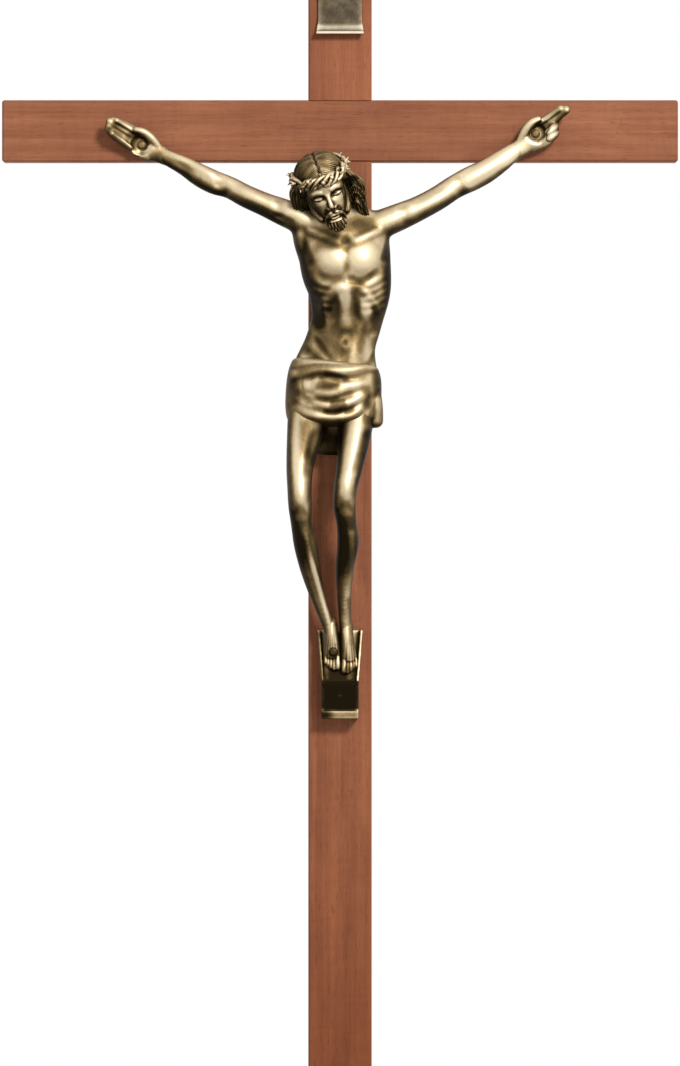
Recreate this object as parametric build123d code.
from build123d import *
import os
from math import cos, pi, radians, sin, sqrt

# A wall crucifix: two half-lapped timbers, a cast figure nailed at its hands and feet, a foot block and a
# scroll. Millimetres. X runs to the viewer's right, the front faces -Y and Z is up. The origin is the mouth
# of the hanging hole, on the flat back of the upright. Right and left are the figure's own.

# Timbers
UPRIGHT_LENGTH = 300.0
UPRIGHT_WIDTH = 15.0
CROSSBAR_LENGTH = 160.0
CROSSBAR_WIDTH = 14.6
TIMBER_THICKNESS = 9.0
TOP_ARM_LENGTH = 42.0  # from the crossing's centre to the upright's top end
ARRIS_WIDTH = 0.4
LAP_SHARE = 0.5  # of the timbers' thickness, taken from the upright's front and the crossbar's back

# Hanging hole in the upright's back
HANGING_HOLE_RADIUS = 2.5
HANGING_HOLE_DEPTH = 5.5
HANGING_HOLE_RISE = 15.0  # above the crossing's centre

# Nails of the figure and pins of the scroll
NAIL_RADIUS = 0.6
NAIL_HEAD_RADIUS = 1.25
NAIL_HEAD_HEIGHT = 0.6
NAIL_POINT_LENGTH = 1.6
NAIL_BITE = 6.0  # depth in the timber
PIN_RADIUS = 0.4
PIN_HEAD_RADIUS = 0.8
PIN_HEAD_HEIGHT = 0.4
PIN_POINT_LENGTH = 1.0
PIN_BITE = 4.0
PILOT_CLEARANCE = 0.02
HOLE_CLEARANCE = 0.12
SEAT_CLEARANCE = 0.15

# Figure
FIGURE_DROP = 128.0  # from the nailing line of the hands down to the balls of the feet
HEAD_LENGTH = 17.5  # crown to chin
HEAD_ROLL = 17.0  # degrees, crown towards the viewer's left
HEAD_BOW = 24.0  # degrees, forward
HAND_LENGTH = 16.5  # wrist to fingertip
RIGHT_HAND_ANGLE = 149.0  # degrees from +X
LEFT_HAND_ANGLE = 43.0
PALM_SEAT = 2.5  # of a hand nail's head, in front of the timber
FOOT_SEAT = 3.4  # of the foot nail's head, in front of the foot block's slope

# Foot block
BLOCK_TOP_WIDTH = 10.8
BLOCK_WAIST_WIDTH = 8.8
BLOCK_BASE_WIDTH = 8.8
BLOCK_SLOPE_DROP = 12.4
BLOCK_BASE_DROP = 8.6
BLOCK_TOP_DEPTH = 2.2
BLOCK_WAIST_DEPTH = 6.6
BLOCK_BASE_DEPTH = 5.2
BLOCK_RIM_WIDTH = 0.6
BLOCK_RIM_HEIGHT = 0.6
BLOCK_LIP_HEIGHT = 1.8
BLOCK_LIP_DEPTH = 0.8

# Scroll
SCROLL_WIDTH = 10.4  # at its waist
SCROLL_FLARE = 0.6  # by which each corner stands out
SCROLL_THICKNESS = 0.8
SCROLL_RISE = 29.4  # its middle, above the crossing's centre
SCROLL_TOP_RISE = 5.6  # above its middle
SCROLL_FLAT_DROP = 1.6  # below its middle
SCROLL_SWEEP_DROP = 4.2
SCROLL_SWEEP_REACH = 1.2
SCROLL_LIP_DROP = 0.3
SCROLL_LIP_REACH = 1.1
SCROLL_PIN_SPACING = 7.0
SCROLL_PIN_RISE = 3.8  # above its middle

# Flats round the casting's limbs, and round its fingers, folds and wreath
LIMB_SIDES = 12
FINE_SIDES = 6

OVERRUN = 1.0  # by which a cut passes the face that it opens

FRONT_Y = -TIMBER_THICKNESS
FORWARD = Vector(0, -1, 0)
CROSSING_Z = -HANGING_HOLE_RISE
SCROLL_Z = CROSSING_Z + SCROLL_RISE

# Stations of the figure: across, forward of the timber and up from the nailing line, then half width and
# half depth, as shares of the figure's drop
TORSO_SHARES = [
    (0.003, 0.072, -0.138, 0.040, 0.025),
    (0.005, 0.071, -0.160, 0.074, 0.036),
    (0.008, 0.072, -0.195, 0.085, 0.047),
    (0.013, 0.074, -0.246, 0.081, 0.052),
    (0.016, 0.073, -0.297, 0.073, 0.048),
    (0.016, 0.067, -0.352, 0.059, 0.039),
    (0.004, 0.064, -0.395, 0.066, 0.040),
    (-0.008, 0.064, -0.445, 0.079, 0.045),
    (-0.012, 0.064, -0.492, 0.082, 0.046),
    (-0.014, 0.066, -0.530, 0.070, 0.038),
]
NECK_SHARES = [
    (0.003, 0.070, -0.165, 0.030, 0.026),
    (0.000, 0.080, -0.140, 0.025, 0.025),
    (-0.008, 0.094, -0.115, 0.025, 0.026),
]
RIGHT_BREAST_SHARES = [
    (-0.002, 0.106, -0.214, 0.014, 0.012),
    (-0.040, 0.106, -0.212, 0.026, 0.018),
    (-0.076, 0.086, -0.186, 0.024, 0.020),
    (-0.108, 0.072, -0.158, 0.012, 0.014),
]
LEFT_BREAST_SHARES = [
    (0.016, 0.106, -0.214, 0.014, 0.012),
    (0.052, 0.106, -0.212, 0.026, 0.018),
    (0.084, 0.086, -0.190, 0.024, 0.020),
    (0.114, 0.072, -0.166, 0.012, 0.014),
]
RIGHT_THIGH_SHARES = [
    (-0.055, 0.066, -0.470, 0.037, 0.040),
    (-0.064, 0.080, -0.562, 0.035, 0.036),
    (-0.070, 0.096, -0.630, 0.029, 0.030),
    (-0.072, 0.108, -0.690, 0.0225, 0.024),
    (-0.071, 0.110, -0.708, 0.012, 0.014),
]
RIGHT_SHIN_SHARES = [
    (-0.070, 0.104, -0.672, 0.018, 0.020),
    (-0.067, 0.101, -0.718, 0.0215, 0.023),
    (-0.060, 0.086, -0.770, 0.0225, 0.0235),
    (-0.046, 0.067, -0.840, 0.0165, 0.018),
    (-0.018, 0.043, -0.918, 0.0115, 0.014),
]
LEFT_THIGH_SHARES = [
    (0.033, 0.066, -0.470, 0.036, 0.040),
    (0.033, 0.080, -0.562, 0.031, 0.035),
    (0.021, 0.096, -0.625, 0.0265, 0.030),
    (0.010, 0.107, -0.682, 0.0215, 0.0235),
    (0.009, 0.109, -0.700, 0.012, 0.014),
]
LEFT_SHIN_SHARES = [
    (0.010, 0.103, -0.664, 0.018, 0.020),
    (0.011, 0.100, -0.710, 0.0215, 0.0225),
    (0.011, 0.085, -0.768, 0.023, 0.0235),
    (0.010, 0.064, -0.840, 0.018, 0.018),
    (0.011, 0.041, -0.914, 0.012, 0.014),
]
RIGHT_UPPER_ARM_SHARES = [
    (-0.060, 0.070, -0.166, 0.026, 0.028),
    (-0.098, 0.067, -0.155, 0.0265, 0.0265),
    (-0.150, 0.059, -0.135, 0.0230, 0.0235),
    (-0.200, 0.048, -0.115, 0.0200, 0.0200),
    (-0.226, 0.043, -0.103, 0.0165, 0.0165),
]
RIGHT_FOREARM_SHARES = [
    (-0.200, 0.048, -0.115, 0.0165, 0.0165),
    (-0.236, 0.041, -0.099, 0.0205, 0.0195),
    (-0.272, 0.033, -0.081, 0.0180, 0.0170),
    (-0.310, 0.024, -0.060, 0.0135, 0.0125),
    (-0.345, 0.016, -0.040, 0.0120, 0.0100),
]
LEFT_UPPER_ARM_SHARES = [
    (0.066, 0.070, -0.175, 0.026, 0.028),
    (0.102, 0.067, -0.164, 0.0260, 0.0265),
    (0.157, 0.059, -0.140, 0.0230, 0.0235),
    (0.208, 0.048, -0.114, 0.0200, 0.0200),
    (0.234, 0.043, -0.099, 0.0165, 0.0165),
]
LEFT_FOREARM_SHARES = [
    (0.208, 0.048, -0.114, 0.0165, 0.0165),
    (0.244, 0.041, -0.092, 0.0200, 0.0195),
    (0.279, 0.033, -0.069, 0.0180, 0.0170),
    (0.313, 0.024, -0.046, 0.0140, 0.0125),
    (0.343, 0.016, -0.024, 0.0120, 0.0100),
]
LOINCLOTH_SHARES = [
    (-0.007, 0.065, -0.426, 0.076, 0.045),
    (-0.010, 0.066, -0.450, 0.086, 0.053),
    (-0.012, 0.067, -0.490, 0.088, 0.057),
    (-0.014, 0.069, -0.525, 0.085, 0.057),
    (-0.014, 0.071, -0.548, 0.074, 0.049),
]
CLOTH_TAIL_SHARES = [
    (0.060, 0.082, -0.432, 0.012, 0.015),
    (0.067, 0.082, -0.455, 0.015, 0.020),
    (0.070, 0.076, -0.505, 0.014, 0.020),
    (0.072, 0.070, -0.555, 0.013, 0.017),
]
UPPER_SWAG_SHARES = [
    (-0.078, 0.094, -0.446, 0.007, 0.007),
    (-0.030, 0.122, -0.484, 0.010, 0.009),
    (0.020, 0.120, -0.476, 0.010, 0.009),
    (0.062, 0.090, -0.436, 0.008, 0.008),
]
LOWER_SWAG_SHARES = [
    (-0.080, 0.090, -0.488, 0.007, 0.007),
    (-0.030, 0.124, -0.522, 0.010, 0.009),
    (0.018, 0.122, -0.512, 0.010, 0.009),
    (0.060, 0.094, -0.458, 0.008, 0.008),
]
RIGHT_LOCK_SHARES = [
    (-0.066, 0.105, -0.070, 0.012, 0.014),
    (-0.080, 0.104, -0.100, 0.014, 0.018),
    (-0.078, 0.096, -0.135, 0.013, 0.018),
    (-0.068, 0.086, -0.174, 0.008, 0.010),
]
LEFT_LOCK_SHARES = [
    (0.018, 0.098, -0.085, 0.012, 0.014),
    (0.032, 0.098, -0.122, 0.013, 0.016),
    (0.043, 0.100, -0.160, 0.012, 0.014),
    (0.050, 0.105, -0.192, 0.007, 0.008),
]
RIGHT_WRIST_SHARES = (-0.330, 0.019, -0.049)
LEFT_WRIST_SHARES = (0.330, 0.019, -0.035)
HEAD_CENTRE_SHARES = (-0.021, 0.110, -0.106)
FOOT_NAIL_SHARES = (-0.0125, -0.963)  # across and up
BLOCK_TOP_SHARE = -0.922

# Stations of the feet, as the figure's, but forward of the foot block's slope
RIGHT_FOOT_SHARES = [
    (-0.018, 0.028, -0.908, 0.0120, 0.0160),
    (-0.016, 0.019, -0.935, 0.0140, 0.0200),
    (-0.014, 0.012, -0.970, 0.0165, 0.0140),
    (-0.014, 0.007, -0.998, 0.0155, 0.0090),
    (-0.014, 0.005, -1.010, 0.0090, 0.0060),
]
LEFT_FOOT_SHARES = [
    (0.0110, 0.026, -0.904, 0.0120, 0.0160),
    (0.0125, 0.018, -0.935, 0.0135, 0.0190),
    (0.0155, 0.0115, -0.973, 0.0150, 0.0135),
    (0.0175, 0.007, -1.003, 0.0140, 0.0090),
    (0.0180, 0.005, -1.016, 0.0080, 0.0060),
]

# Stations of the head: across, forward and up from its centre, then half width and half depth, as shares
# of its length
SKULL_SHARES = [
    (0.0, -0.03, 0.50, 0.08, 0.09),
    (0.0, -0.03, 0.44, 0.22, 0.26),
    (0.0, -0.03, 0.28, 0.32, 0.39),
    (0.0, -0.01, 0.05, 0.33, 0.41),
    (0.0, 0.03, -0.17, 0.30, 0.37),
    (0.0, 0.10, -0.34, 0.23, 0.27),
    (0.0, 0.18, -0.53, 0.09, 0.11),
]
NOSE_SHARES = [
    (0.0, 0.36, 0.12, 0.030, 0.050),
    (0.0, 0.40, 0.00, 0.042, 0.060),
    (0.0, 0.41, -0.08, 0.060, 0.060),
    (0.0, 0.38, -0.12, 0.045, 0.040),
]
HAIR_SHARES = [
    (0.0, -0.08, 0.53, 0.10, 0.11),
    (0.0, -0.09, 0.44, 0.28, 0.30),
    (0.0, -0.11, 0.22, 0.38, 0.39),
    (0.0, -0.13, -0.08, 0.39, 0.37),
    (0.0, -0.15, -0.34, 0.35, 0.29),
    (0.0, -0.17, -0.55, 0.27, 0.22),
]
WREATH_CENTRE_SHARES = (0.0, -0.06, 0.24)
WREATH_HALF_WIDTH_SHARE = 0.395
WREATH_HALF_DEPTH_SHARE = 0.455
WREATH_THICKNESS_SHARE = 0.06

# Stations of a hand: towards the fingertips, forward and towards the thumb from the wrist, then half width
# and half depth, as shares of its length
PALM_SHARES = [
    (-0.05, 0.00, 0.00, 0.095, 0.075),
    (0.12, -0.03, 0.00, 0.135, 0.090),
    (0.32, -0.05, 0.00, 0.200, 0.100),
    (0.58, -0.05, 0.00, 0.190, 0.060),
]
THUMB_SHARES = [
    (0.12, -0.02, 0.07, 0.055, 0.060),
    (0.28, 0.01, 0.19, 0.058, 0.060),
    (0.42, 0.04, 0.25, 0.048, 0.050),
    (0.56, 0.06, 0.27, 0.025, 0.030),
]
PALM_NAIL_SHARE = 0.33  # along the hand
FINGER_ROOT_SHARE = 0.48

# Stations of a finger: along its reach, forward, then half width and half depth
OPEN_FINGER_SHARES = [
    (0.00, -0.05, 0.052, 0.055),
    (0.50, -0.03, 0.051, 0.053),
    (0.85, 0.02, 0.044, 0.046),
    (1.00, 0.05, 0.022, 0.024),
]
CURLED_FINGER_SHARES = [
    (0.00, -0.05, 0.052, 0.055),
    (0.28, -0.02, 0.051, 0.053),
    (0.45, 0.06, 0.048, 0.050),
    (0.38, 0.14, 0.026, 0.028),
]
FINGER_SHARES = [  # offset towards the thumb at the knuckle and at the tip, and reach
    (0.145, 0.110, 0.46),
    (0.050, 0.040, 0.52),
    (-0.045, -0.030, 0.48),
    (-0.135, -0.095, 0.40),
]


def figure_point(across, forward, up):
    """A place on the figure, from shares of its drop."""
    return Vector(
        FIGURE_DROP * across, FRONT_Y - FIGURE_DROP * forward, CROSSING_Z + FIGURE_DROP * up
    )


def head_point(across, forward, up):
    """A place on the head, from shares of its length, turned by its bow and roll."""
    bow = radians(HEAD_BOW)
    roll = radians(HEAD_ROLL)
    ahead = forward * cos(bow) + up * sin(bow)
    rise = up * cos(bow) - forward * sin(bow)
    sideways = across * cos(roll) - rise * sin(roll)
    height = across * sin(roll) + rise * cos(roll)
    return figure_point(*HEAD_CENTRE_SHARES) + Vector(sideways, -ahead, height) * HEAD_LENGTH


def slope_depth(z):
    """How far the foot block's slope stands in front of the timber at a height."""
    fallen = (block_top() - z) / BLOCK_SLOPE_DROP
    return BLOCK_TOP_DEPTH + fallen * (BLOCK_WAIST_DEPTH - BLOCK_TOP_DEPTH)


def foot_point(across, forward, up):
    """A place on a foot, forward of the foot block's slope."""
    point = figure_point(across, forward, up)
    return point + FORWARD * slope_depth(point.Z)


def hand_axes(angle):
    """A hand's directions: towards its fingertips and towards its thumb."""
    reach = Vector(cos(radians(angle)), 0, sin(radians(angle)))
    thumbward = Vector(abs(reach.Z), 0, abs(reach.X))
    if reach.X > 0:
        thumbward = Vector(-abs(reach.Z), 0, abs(reach.X))
    return reach, thumbward


def hand_nail_point(wrist_shares, angle):
    """Where a hand's nail enters the crossbar's front."""
    reach, _ = hand_axes(angle)
    point = figure_point(*wrist_shares) + reach * (HAND_LENGTH * PALM_NAIL_SHARE)
    return Vector(point.X, FRONT_Y, point.Z)


def foot_nail_point():
    """Where the foot nail enters the upright's front."""
    across, up = FOOT_NAIL_SHARES
    return figure_point(across, 0, up)


def block_top():
    """Height of the foot block's upper end."""
    return CROSSING_Z + FIGURE_DROP * BLOCK_TOP_SHARE


def limb_section(half_width, half_depth, sides):
    """A many-sided section with the area of an ellipse."""
    ease = sqrt(2 * pi / (sides * sin(2 * pi / sides)))
    corners = [
        (half_width * ease * cos(2 * pi * i / sides), half_depth * ease * sin(2 * pi * i / sides))
        for i in range(sides)
    ]
    return make_face(Polyline(*corners, close=True))


def limb(stations, size, place, sides=LIMB_SIDES, ruled=False):
    """A loft through sections that stand square to the line of their centres."""
    centres = [place(*station[:3]) for station in stations]
    last = len(centres) - 1
    sections = []
    for i, station in enumerate(stations):
        along = centres[min(i + 1, last)] - centres[max(i - 1, 0)]
        plane = Plane(origin=centres[i], x_dir=along.cross(-FORWARD), z_dir=along)
        sections.append(plane * limb_section(size * station[3], size * station[4], sides))
    return loft(sections, ruled=ruled)


def timber(width, height):
    """A bar with eased arrises, its back on the XZ plane and its middle at the origin."""
    bar = Box(width, TIMBER_THICKNESS, height, align=(Align.CENTER, Align.MAX, Align.CENTER))
    return chamfer(bar.edges(), ARRIS_WIDTH)


def lap_notch(width, height, back):
    """What one timber gives up to the other at the crossing, from the lap's plane to back or front."""
    lap_y = FRONT_Y + TIMBER_THICKNESS * LAP_SHARE
    depth = OVERRUN - lap_y if back else OVERRUN + lap_y - FRONT_Y
    side = Align.MIN if back else Align.MAX
    return Pos(0, lap_y, CROSSING_Z) * Box(
        width, depth, height, align=(Align.CENTER, side, Align.CENTER)
    )


def bore(x, z, radius, mouth_y, end_y):
    """A cutter along Y for a round hole, from past its mouth to its end."""
    overrun = OVERRUN if mouth_y > end_y else -OVERRUN
    length = abs(mouth_y - end_y) + OVERRUN
    return Pos(x, (mouth_y + overrun + end_y) / 2, z) * Rot(90, 0, 0) * Cylinder(radius, length)


def pilot(point, radius, bite):
    """A pilot hole in the front of a timber for a nail or a pin."""
    return bore(
        point.X, point.Z, radius + PILOT_CLEARANCE, FRONT_Y, FRONT_Y + bite + PILOT_CLEARANCE
    )


def nail(radius, head_radius, head_height, point_length, length):
    """A round-headed nail along +Y, with the underside of its head at the origin."""
    head_outline = [
        (-head_height, head_radius * 0.45),
        (-head_height * 0.6, head_radius * 0.85),
        (0, head_radius),
    ]
    shank_outline = [(0, radius), (length - point_length, radius), (length, radius * 0.1)]
    turned = []
    for outline in (head_outline, shank_outline):
        rounds = [Pos(0, y, 0) * Rot(90, 0, 0) * RegularPolygon(r, LIMB_SIDES) for y, r in outline]
        turned.append(loft(rounds, ruled=True))
    return turned[0] + turned[1]


def driven_nail(point, seat):
    """A nail of the figure, its head seated in front of the timber."""
    shape = nail(
        NAIL_RADIUS, NAIL_HEAD_RADIUS, NAIL_HEAD_HEIGHT, NAIL_POINT_LENGTH, seat + NAIL_BITE
    )
    return Pos(point.X, FRONT_Y - seat, point.Z) * shape


def nail_way(point, seat):
    """A cutter through the figure for a nail's shank, with a flat seat for its head."""
    ahead = FRONT_Y - FIGURE_DROP
    shank = bore(point.X, point.Z, NAIL_RADIUS + HOLE_CLEARANCE, ahead, FRONT_Y + OVERRUN)
    head = bore(point.X, point.Z, NAIL_HEAD_RADIUS + SEAT_CLEARANCE, ahead, FRONT_Y - seat)
    return shank + head


def side_prism(outline, width):
    """An outline of forward place and height, carried across the object."""
    return extrude(Plane.YZ * make_face(outline), width / 2, both=True)


def front_prism(outline, reach):
    """An outline of across place and height, carried forward from the timber's front."""
    return Pos(0, FRONT_Y, 0) * extrude(Plane.XZ * make_face(outline), reach)


def upright():
    """The long timber, notched in front for the crossbar and bored for the nails and the hanger."""
    middle = CROSSING_Z + TOP_ARM_LENGTH - UPRIGHT_LENGTH / 2
    post = Pos(0, 0, middle) * timber(UPRIGHT_WIDTH, UPRIGHT_LENGTH)
    post -= lap_notch(UPRIGHT_WIDTH + OVERRUN, CROSSBAR_WIDTH, back=False)
    post -= bore(0, 0, HANGING_HOLE_RADIUS, 0, -HANGING_HOLE_DEPTH)
    post -= pilot(foot_nail_point(), NAIL_RADIUS, NAIL_BITE)
    for point in pin_points():
        post -= pilot(point, PIN_RADIUS, PIN_BITE)
    return post


def crossbar():
    """The short timber, whole in front, notched at the back for the upright."""
    bar = Pos(0, 0, CROSSING_Z) * timber(CROSSBAR_LENGTH, CROSSBAR_WIDTH)
    bar -= lap_notch(UPRIGHT_WIDTH, CROSSBAR_WIDTH + OVERRUN, back=True)
    for point in (right_hand_nail_point(), left_hand_nail_point()):
        bar -= pilot(point, NAIL_RADIUS, NAIL_BITE)
    return bar


def right_hand_nail_point():
    return hand_nail_point(RIGHT_WRIST_SHARES, RIGHT_HAND_ANGLE)


def left_hand_nail_point():
    return hand_nail_point(LEFT_WRIST_SHARES, LEFT_HAND_ANGLE)


def foot_nail_seat():
    """How far in front of the timber the foot nail's head sits."""
    return slope_depth(foot_nail_point().Z) + FOOT_SEAT


def pin_points():
    """Where the scroll's pins enter the upright's front."""
    height = SCROLL_Z + SCROLL_PIN_RISE
    return [Vector(side * SCROLL_PIN_SPACING / 2, FRONT_Y, height) for side in (-1, 1)]


def title_scroll():
    """A bare cast scroll: flat on the timber above, swept forward to a rolled lip below, with waisted sides."""
    middle_y = FRONT_Y - SCROLL_THICKNESS / 2
    flat_end = (middle_y, SCROLL_Z - SCROLL_FLAT_DROP)
    sweep_end = (flat_end[0] - SCROLL_SWEEP_REACH, flat_end[1] - SCROLL_SWEEP_DROP)
    lip_end = (sweep_end[0] - SCROLL_LIP_REACH, sweep_end[1] - SCROLL_LIP_DROP)
    flat = Line((middle_y, SCROLL_Z + SCROLL_TOP_RISE), flat_end)
    swept = TangentArc(flat_end, sweep_end, tangent=flat % 1)
    lip = TangentArc(sweep_end, lip_end, tangent=swept % 1)
    profile = trace([flat, swept, lip], SCROLL_THICKNESS)
    sheet = extrude(Plane.YZ * profile, SCROLL_WIDTH, both=True)
    top = SCROLL_Z + SCROLL_TOP_RISE
    bottom = lip_end[1] - SCROLL_LIP_REACH
    waist = (top + bottom) / 2
    half = SCROLL_WIDTH / 2
    corner = half + SCROLL_FLARE
    outline = [
        Line((-corner, top), (corner, top)),
        ThreePointArc((corner, top), (half, waist), (corner, bottom)),
        Line((corner, bottom), (-corner, bottom)),
        ThreePointArc((-corner, bottom), (-half, waist), (-corner, top)),
    ]
    reach = SCROLL_THICKNESS + SCROLL_SWEEP_REACH + SCROLL_LIP_REACH + OVERRUN
    scroll = sheet & front_prism(outline, reach)
    for point in pin_points():
        scroll -= bore(
            point.X, point.Z, PIN_RADIUS + HOLE_CLEARANCE, FRONT_Y - reach, FRONT_Y + OVERRUN
        )
    return scroll


def title_pins():
    """The two round-headed pins that hold the scroll."""
    pin = nail(
        PIN_RADIUS, PIN_HEAD_RADIUS, PIN_HEAD_HEIGHT, PIN_POINT_LENGTH, SCROLL_THICKNESS + PIN_BITE
    )
    return Compound([Pos(p.X, FRONT_Y - SCROLL_THICKNESS, p.Z) * pin for p in pin_points()])


def foot_block():
    """The wedge under the feet: a tapered slope between raised rims, over an undercut base with a lip."""
    top = block_top()
    waist = top - BLOCK_SLOPE_DROP
    base = waist - BLOCK_BASE_DROP
    half_top = BLOCK_TOP_WIDTH / 2
    half_waist = BLOCK_WAIST_WIDTH / 2
    half_base = BLOCK_BASE_WIDTH / 2
    front_outline = Polyline(
        (-half_top, top),
        (half_top, top),
        (half_waist, waist),
        (half_base, base),
        (-half_base, base),
        (-half_waist, waist),
        close=True,
    )
    rim_y = FRONT_Y - BLOCK_RIM_HEIGHT
    side_outline = Polyline(
        (FRONT_Y, top),
        (rim_y - BLOCK_TOP_DEPTH, top),
        (rim_y - BLOCK_WAIST_DEPTH, waist),
        (FRONT_Y - BLOCK_BASE_DEPTH, base),
        (FRONT_Y, base),
        close=True,
    )
    tray_outline = Polyline(
        (BLOCK_RIM_WIDTH - half_top, top + OVERRUN),
        (half_top - BLOCK_RIM_WIDTH, top + OVERRUN),
        (half_waist - BLOCK_RIM_WIDTH, waist),
        (BLOCK_RIM_WIDTH - half_waist, waist),
        close=True,
    )
    ahead = rim_y - BLOCK_WAIST_DEPTH - OVERRUN
    above_slope = Polyline(
        (FRONT_Y - slope_depth(top + OVERRUN), top + OVERRUN),
        (FRONT_Y - slope_depth(waist), waist),
        (ahead, waist),
        (ahead, top + OVERRUN),
        close=True,
    )
    reach = FRONT_Y - ahead
    block = front_prism(front_outline, reach) & side_prism(side_outline, BLOCK_TOP_WIDTH)
    block -= front_prism(tray_outline, reach) & side_prism(above_slope, BLOCK_TOP_WIDTH)
    block += Pos(0, FRONT_Y, base) * Box(
        BLOCK_BASE_WIDTH,
        BLOCK_BASE_DEPTH + BLOCK_LIP_DEPTH,
        BLOCK_LIP_HEIGHT,
        align=(Align.CENTER, Align.MAX, Align.MIN),
    )
    nail_point = foot_nail_point()
    block -= bore(nail_point.X, nail_point.Z, NAIL_RADIUS + HOLE_CLEARANCE, ahead, FRONT_Y + OVERRUN)
    return block


def hand(wrist_shares, angle, curled):
    """Palm, thumb and four fingers from the index down; the last ones, as many as curled, are folded."""
    wrist = figure_point(*wrist_shares)
    reach, thumbward = hand_axes(angle)

    def place(along, forward, across):
        return wrist + (reach * along + FORWARD * forward + thumbward * across) * HAND_LENGTH

    pieces = [
        limb(PALM_SHARES, HAND_LENGTH, place),
        limb(THUMB_SHARES, HAND_LENGTH, place, FINE_SIDES, ruled=True),
    ]
    for i, (knuckle, tip, length) in enumerate(FINGER_SHARES):
        folded = i >= len(FINGER_SHARES) - curled
        stations = [
            (
                FINGER_ROOT_SHARE + along * length,
                forward,
                knuckle + along * (tip - knuckle),
                half_width,
                half_depth,
            )
            for along, forward, half_width, half_depth in (
                CURLED_FINGER_SHARES if folded else OPEN_FINGER_SHARES
            )
        ]
        pieces.append(limb(stations, HAND_LENGTH, place, FINE_SIDES, ruled=True))
    return pieces


def wreath():
    """The round of the plaited wreath, tilted with the head."""
    centre = head_point(*WREATH_CENTRE_SHARES)
    across = head_point(1, 0, 0) - head_point(0, 0, 0)
    upward = head_point(0, 0, 1) - head_point(0, 0, 0)
    ring_plane = Plane(origin=centre, x_dir=across, z_dir=upward)
    half_width = HEAD_LENGTH * WREATH_HALF_WIDTH_SHARE
    half_depth = HEAD_LENGTH * WREATH_HALF_DEPTH_SHARE
    path = (ring_plane * Ellipse(half_width, half_depth)).edge()
    half_thickness = HEAD_LENGTH * WREATH_THICKNESS_SHARE
    section = limb_section(half_thickness, half_thickness, FINE_SIDES)
    return sweep(Plane(origin=path @ 0, z_dir=path % 0) * section, path)


def corpus():
    """The one-piece cast figure, flat where its hands lie on the crossbar and its soles on the foot block."""
    body_shares = [
        NECK_SHARES,
        RIGHT_BREAST_SHARES,
        LEFT_BREAST_SHARES,
        RIGHT_THIGH_SHARES,
        RIGHT_SHIN_SHARES,
        LEFT_THIGH_SHARES,
        LEFT_SHIN_SHARES,
        RIGHT_UPPER_ARM_SHARES,
        RIGHT_FOREARM_SHARES,
        LEFT_UPPER_ARM_SHARES,
        LEFT_FOREARM_SHARES,
        LOINCLOTH_SHARES,
        CLOTH_TAIL_SHARES,
    ]
    fine_shares = [UPPER_SWAG_SHARES, LOWER_SWAG_SHARES, RIGHT_LOCK_SHARES, LEFT_LOCK_SHARES]
    pieces = [limb(shares, FIGURE_DROP, figure_point) for shares in body_shares]
    pieces += [limb(shares, FIGURE_DROP, figure_point, FINE_SIDES) for shares in fine_shares]
    pieces += [limb(shares, FIGURE_DROP, foot_point) for shares in (RIGHT_FOOT_SHARES, LEFT_FOOT_SHARES)]
    pieces += [limb(shares, HEAD_LENGTH, head_point) for shares in (SKULL_SHARES, HAIR_SHARES)]
    pieces.append(limb(NOSE_SHARES, HEAD_LENGTH, head_point, FINE_SIDES))
    pieces.append(wreath())
    pieces += hand(RIGHT_WRIST_SHARES, RIGHT_HAND_ANGLE, curled=0)
    pieces += hand(LEFT_WRIST_SHARES, LEFT_HAND_ANGLE, curled=2)
    casting = limb(TORSO_SHARES, FIGURE_DROP, figure_point).fuse(*pieces)
    behind = Pos(0, FRONT_Y, CROSSING_Z) * Box(
        CROSSBAR_LENGTH,
        TIMBER_THICKNESS,
        CROSSBAR_LENGTH,
        align=(Align.CENTER, Align.MIN, Align.CENTER),
    )
    return casting.cut(
        behind,
        foot_block(),
        nail_way(right_hand_nail_point(), PALM_SEAT),
        nail_way(left_hand_nail_point(), PALM_SEAT),
        nail_way(foot_nail_point(), foot_nail_seat()),
    )


PARTS = {
    "upright": upright,
    "crossbar": crossbar,
    "corpus": corpus,
    "foot_block": foot_block,
    "foot_nail": lambda: driven_nail(foot_nail_point(), foot_nail_seat()),
    "right_hand_nail": lambda: driven_nail(right_hand_nail_point(), PALM_SEAT),
    "left_hand_nail": lambda: driven_nail(left_hand_nail_point(), PALM_SEAT),
    "title_scroll": title_scroll,
    "title_pins": title_pins,
}

os.makedirs("parts", exist_ok=True)
for node, make in PARTS.items():
    export_step(make(), f"parts/{node}.step")
